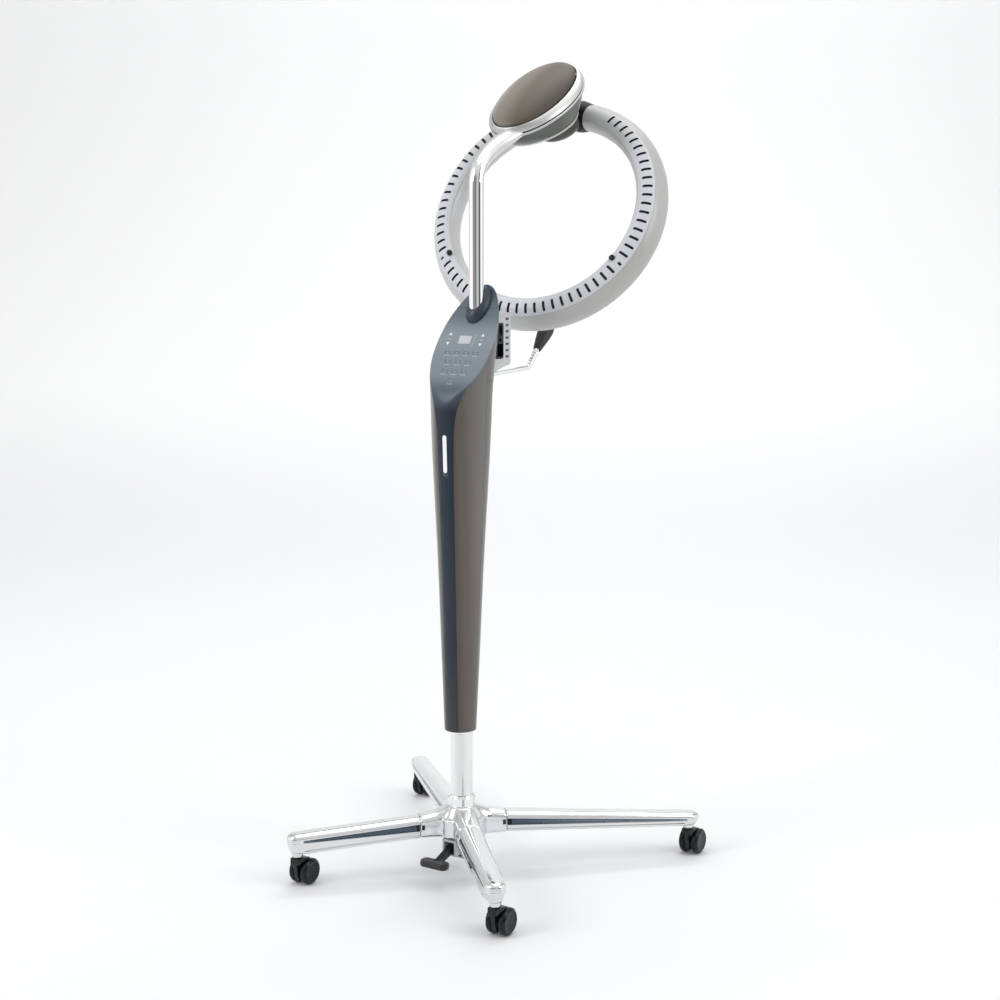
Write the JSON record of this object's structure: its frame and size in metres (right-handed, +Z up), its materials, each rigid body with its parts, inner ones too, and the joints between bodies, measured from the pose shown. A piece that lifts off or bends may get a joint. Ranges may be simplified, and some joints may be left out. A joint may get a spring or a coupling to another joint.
{
  "type": "hair color processor",
  "caption": "Ring-type infrared hair colour processor on a tapered lifting column with a swivelling slotted ring, control face and four-leg caster base.",
  "frame": {"origin": "on the floor under the column tube's axis", "axes": "+Z up, -Y towards the operator at the control face, +X to the operator's right; the ring hangs on the +Y side"},
  "size_m": [0.691, 0.6943, 1.5502],
  "materials": {
    "polished_alloy": "polished",
    "chromed_steel": "mirror polished",
    "dark_steel": "blackened",
    "zinc_plate": "zinc plated",
    "black_nylon": "satin moulded",
    "black_rubber": "smooth",
    "taupe_shell": "satin metallic paint",
    "grey_shell": "satin metallic paint",
    "slate_fascia": "satin metallic paint",
    "display_lens": "clear lens over a grey display",
    "white_light": "diffusing",
    "key_white": "satin",
    "box_grey": "fine moulded texture",
    "dish_grey": "satin metallic paint",
    "hub_brown": "satin metallic paint",
    "ring_front": "satin",
    "ring_back": "satin",
    "reflector": "bright rolled",
    "quartz": "frosted quartz",
    "bronze": "sintered",
    "gear_nylon": "moulded"
  },
  "bodies": {
    "base": {"base_hub": "polished_alloy", "leg_front_left": "polished_alloy", "leg_front_right": "polished_alloy", "leg_rear_left": "polished_alloy", "leg_rear_right": "polished_alloy", "tube_collar": "chromed_steel", "lower_tube": "chromed_steel", "gas_spring_cylinder": "dark_steel", "pedal_bracket": "zinc_plate", "pedal_bearing_block": "box_grey", "pedal_torsion_spring": "zinc_plate"},
    "pedal": {"pedal_lever": "black_nylon", "pedal_foot_bar": "black_rubber"},
    "valve": {"valve_pin": "zinc_plate"},
    "column": {"casing_front_left": "taupe_shell", "casing_front_right": "taupe_shell", "casing_rear_shell": "grey_shell", "casing_rear_cover": "grey_shell", "front_fascia": "slate_fascia", "display_window": "display_lens", "light_bar": "white_light", "pole_grommet": "black_nylon", "lower_guide_bush": "chromed_steel", "upper_guide_bush": "black_nylon", "inner_mast": "zinc_plate", "gas_spring_rod": "chromed_steel", "pole_arm": "chromed_steel", "head_rim": "chromed_steel", "head_neck": "chromed_steel", "head_cap": "taupe_shell", "drive_housing": "dish_grey", "housing_trim_ring": "chromed_steel", "drive_motor": "zinc_plate", "spindle_bearing": "bronze", "rear_box": "box_grey", "socket_panel": "black_nylon", "rear_handle_rod": "chromed_steel", "rear_handle_grip": "black_rubber"},
    "rocker": {"power_rocker": "black_nylon"},
    "ring": {"ring_spindle": "gear_nylon", "ring_hub": "hub_brown", "ring_collars": "black_nylon", "ring_front_grille": "ring_front", "ring_back_shell": "ring_back", "ring_reflector": "reflector", "heater_tubes": "quartz", "ring_sensors": "black_nylon"},
    "pinion": {"motor_pinion": "gear_nylon"},
    "key_left_up_cap": {"key_left_up": "key_white"},
    "key_left_down_cap": {"key_left_down": "key_white"},
    "key_right_up_cap": {"key_right_up": "key_white"},
    "key_right_down_cap": {"key_right_down": "key_white"},
    "caster_front_left": {"caster_hood_front_left": "black_nylon"},
    "wheels_front_left": {"caster_wheels_front_left": "black_nylon"},
    "caster_front_right": {"caster_hood_front_right": "black_nylon"},
    "wheels_front_right": {"caster_wheels_front_right": "black_nylon"},
    "caster_rear_left": {"caster_hood_rear_left": "black_nylon"},
    "wheels_rear_left": {"caster_wheels_rear_left": "black_nylon"},
    "caster_rear_right": {"caster_hood_rear_right": "black_nylon"},
    "wheels_rear_right": {"caster_wheels_rear_right": "black_nylon"}
  },
  "joints": [
    {"name": "column_lift", "type": "slide", "parent": "base", "child": "column", "axis": [0, 0, 1], "range_m": [-0.1, 0.15]},
    {"name": "pedal_press", "type": "hinge", "parent": "base", "child": "pedal", "pos_m": [0, -0.03, 0.062], "axis": [1, 0, 0], "range_deg": [0, 8], "stiffness_Nm_per_rad": 6, "springref_deg": -8.59},
    {"name": "valve_lift", "type": "slide", "parent": "base", "child": "valve", "axis": [0, 0, 1], "range_m": [0, 0.0045]},
    {"name": "ring_spin", "type": "hinge", "parent": "column", "child": "ring", "pos_m": [0, 0.29582, 1.49949], "axis": [0, -0.5592, 0.829], "continuous": true},
    {"name": "pinion_spin", "type": "hinge", "parent": "column", "child": "pinion", "pos_m": [0, 0.26461, 1.47843], "axis": [0, -0.5592, 0.829], "continuous": true},
    {"name": "power_rock", "type": "hinge", "parent": "column", "child": "rocker", "pos_m": [0.029, 0.0805, 1.038], "axis": [0, 1, 0], "range_deg": [0, 8]},
    {"name": "key_left_up_press", "type": "slide", "parent": "column", "child": "key_left_up_cap", "axis": [0, 0.8141, -0.5807], "range_m": [0, 0.0008], "stiffness_N_per_m": 900, "springref_m": -0.0002},
    {"name": "key_left_down_press", "type": "slide", "parent": "column", "child": "key_left_down_cap", "axis": [0, 0.8141, -0.5807], "range_m": [0, 0.0008], "stiffness_N_per_m": 900, "springref_m": -0.0002},
    {"name": "key_right_up_press", "type": "slide", "parent": "column", "child": "key_right_up_cap", "axis": [0, 0.8141, -0.5807], "range_m": [0, 0.0008], "stiffness_N_per_m": 900, "springref_m": -0.0002},
    {"name": "key_right_down_press", "type": "slide", "parent": "column", "child": "key_right_down_cap", "axis": [0, 0.8141, -0.5807], "range_m": [0, 0.0008], "stiffness_N_per_m": 900, "springref_m": -0.0002},
    {"name": "swivel_front_left", "type": "hinge", "parent": "base", "child": "caster_front_left", "pos_m": [-0.2215, -0.2253, 0.055], "axis": [0, 0, 1], "continuous": true},
    {"name": "roll_front_left", "type": "hinge", "parent": "caster_front_left", "child": "wheels_front_left", "pos_m": [-0.2215, -0.2053, 0.025], "axis": [1, 0, 0], "continuous": true},
    {"name": "swivel_front_right", "type": "hinge", "parent": "base", "child": "caster_front_right", "pos_m": [0.2215, -0.2253, 0.055], "axis": [0, 0, 1], "continuous": true},
    {"name": "roll_front_right", "type": "hinge", "parent": "caster_front_right", "child": "wheels_front_right", "pos_m": [0.2215, -0.2053, 0.025], "axis": [1, 0, 0], "continuous": true},
    {"name": "swivel_rear_left", "type": "hinge", "parent": "base", "child": "caster_rear_left", "pos_m": [-0.325, 0.318, 0.055], "axis": [0, 0, 1], "continuous": true},
    {"name": "roll_rear_left", "type": "hinge", "parent": "caster_rear_left", "child": "wheels_rear_left", "pos_m": [-0.325, 0.338, 0.025], "axis": [1, 0, 0], "continuous": true},
    {"name": "swivel_rear_right", "type": "hinge", "parent": "base", "child": "caster_rear_right", "pos_m": [0.325, 0.318, 0.055], "axis": [0, 0, 1], "continuous": true},
    {"name": "roll_rear_right", "type": "hinge", "parent": "caster_rear_right", "child": "wheels_rear_right", "pos_m": [0.325, 0.338, 0.025], "axis": [1, 0, 0], "continuous": true}
  ],
  "couplings": [
    {"joint": "pinion_spin", "follows": "ring_spin", "ratio": -4},
    {"joint": "valve_lift", "follows": "pedal_press", "m_per_rad": 0.03}
  ]
}
